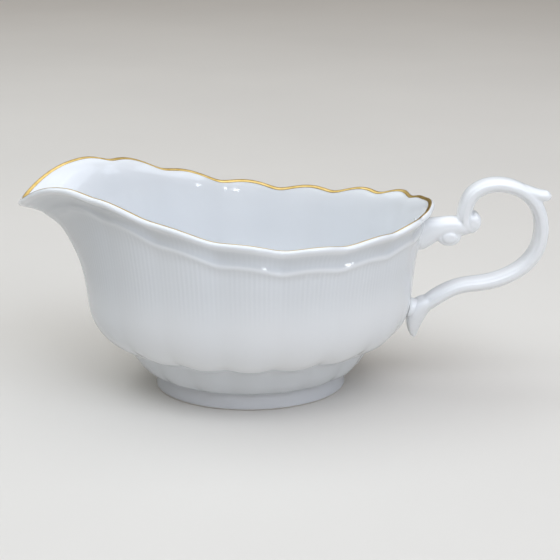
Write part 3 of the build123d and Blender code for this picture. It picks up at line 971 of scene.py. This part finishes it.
# ------------------------------------------------------------------ studio
@dataclass
class Studio:
    """Pale floor, soft light and the camera: lengths in metres, the lens and its sensor in millimetres."""

    floor_size: float = 6.0
    sensor: float = 36.0
    lens: float = 76.8857
    shift: float = 0.010179
    elevation: float = 20.45
    yaw: float = -1.06
    distance: float = 0.5205
    target: tuple[float, float, float] = (0.01307, 0.0, 0.045)
    sky_low: float = 0.04
    sky_high: float = 0.46
    sky_rise: tuple[float, float] = (0.15, 0.8)
    sky_colour: tuple[float, float, float, float] = (1.0, 0.9, 0.8, 1.0)

    def camera(self) -> bpy.types.Object:
        """The camera at the viewing angle, on a long lens, shifted a little to frame the boat."""
        data = bpy.data.cameras.new("camera")
        data.sensor_width = self.sensor
        data.lens = self.lens
        data.shift_y = self.shift
        data.clip_start = 0.01
        yaw, rise = math.radians(self.yaw), math.radians(self.elevation)
        back = Vector((math.sin(yaw) * math.cos(rise), -math.cos(yaw) * math.cos(rise), math.sin(rise)))
        eye = bpy.data.objects.new("camera", data)
        eye.matrix_world = Matrix.Translation(Vector(self.target) + back * self.distance) @ (
            back.to_track_quat("Z", "Y").to_matrix().to_4x4()
        )
        bpy.context.collection.objects.link(eye)
        bpy.context.scene.camera = eye
        return eye

    def lamp(self, name: str, place: tuple[float, float, float], aim: tuple[float, float, float],
             size: tuple[float, float], power: float, colour: tuple[float, float, float]) -> bpy.types.Object:
        """A rectangular soft light.

        Args:
            name: the light's name.
            place: where it stands.
            aim: the point it faces.
            size: its width and height.
            power: watts.
            colour: its tint.

        Returns:
            The light.
        """
        data = bpy.data.lights.new(name, "AREA")
        data.shape = "RECTANGLE"
        data.size, data.size_y = size
        data.energy = power
        data.color = colour
        light = bpy.data.objects.new(name, data)
        away = Vector(place) - Vector(aim)
        light.matrix_world = Matrix.Translation(place) @ away.to_track_quat("Z", "Y").to_matrix().to_4x4()
        bpy.context.collection.objects.link(light)
        return light

    def lights(self) -> None:
        """Broad lamps above and at each side, a small low window at the front right, and a pale sky."""
        aim = (0.0, 0.0, 0.05)
        self.lamp("overhead", (0.0, 0.1, 1.5), aim, (1.9, 1.5), 10.4, (0.87, 0.93, 1.0))
        self.lamp("front_top", (0.0, -0.7, 1.25), aim, (1.5, 1.0), 6.2, (0.79, 0.87, 1.0))
        self.lamp("left_top", (-1.0, 0.2, 1.15), aim, (1.1, 1.1), 6.0, (0.85, 0.95, 1.0))
        self.lamp("right_top", (0.8, -0.8, 1.1), aim, (1.2, 1.0), 8.2, (0.8, 0.875, 1.0))
        self.lamp("window", (0.46, -1.05, 0.26), aim, (0.13, 0.13), 0.7, (0.95, 0.97, 1.0))
        world = bpy.data.worlds.new("pale_sky")
        world.use_nodes = True
        tree = world.node_tree
        place = tree.nodes.new("ShaderNodeTexCoord")
        axes = tree.nodes.new("ShaderNodeSeparateXYZ")
        tree.links.new(place.outputs["Generated"], axes.inputs[0])
        climb = tree.nodes.new("ShaderNodeMapRange")
        tree.links.new(axes.outputs["Z"], climb.inputs["Value"])
        climb.inputs["From Min"].default_value, climb.inputs["From Max"].default_value = self.sky_rise
        climb.inputs["To Min"].default_value = self.sky_low
        climb.inputs["To Max"].default_value = self.sky_high
        sky = tree.nodes["Background"]
        sky.inputs["Color"].default_value = self.sky_colour
        tree.links.new(climb.outputs["Result"], sky.inputs["Strength"])
        bpy.context.scene.world = world

    def floor(self, finish: bpy.types.Material) -> None:
        """A plain pale floor under the boat."""
        half = self.floor_size / 2 / MM
        corners = np.array([(-half, -half, 0), (half, -half, 0), (half, half, 0), (-half, half, 0)])
        ground = make_mesh("floor", corners, [np.array([[0, 1, 2, 3]])])
        ground.data.materials.append(finish)

    def build(self) -> None:
        """Sets up the whole studio."""
        self.camera()
        self.lights()
        self.floor(TableCloth().make())
        bpy.context.scene.view_settings.view_transform = "Standard"


def main() -> None:
    """Builds the studio and every piece of the boat, in order."""
    Studio().build()
    glaze = PorcelainGlaze().make()
    # The foot's glaze is the same glaze painted darker: painted shade under the bowl. Its standing edge is
    # bare clay.
    foot_glaze_painted_shade = PorcelainGlaze(
        "foot_glaze_painted_shade", white=(0.64, 0.665, 0.71), warm_white=(0.65, 0.665, 0.69), bare_edge=True,
    ).make()
    form = BoatForm()
    Bowl(form).build(glaze)
    FootRing().build(foot_glaze_painted_shade)
    # The handle's glaze is the same glaze painted lighter: painted light on the handle, with less painted
    # shade in its hollows.
    handle_glaze_painted_light = PorcelainGlaze(
        "handle_glaze_painted_light", white=(0.88, 0.90, 0.92), warm_white=(0.885, 0.895, 0.905), pool_and_shade_share=0.4,
    ).make()
    Handle().build(handle_glaze_painted_light)
    SlipJoint(form, "upper_joint", "upper_slip_joint", BRACKET).build(handle_glaze_painted_light)
    SlipJoint(form, "lower_joint", "lower_slip_joint", LOWER_FOOT, rows=33).build(handle_glaze_painted_light)
    GiltLine(form).build(WornGilding().make())


if __name__ == "__main__":
    logging.basicConfig(level=logging.INFO)
    main()
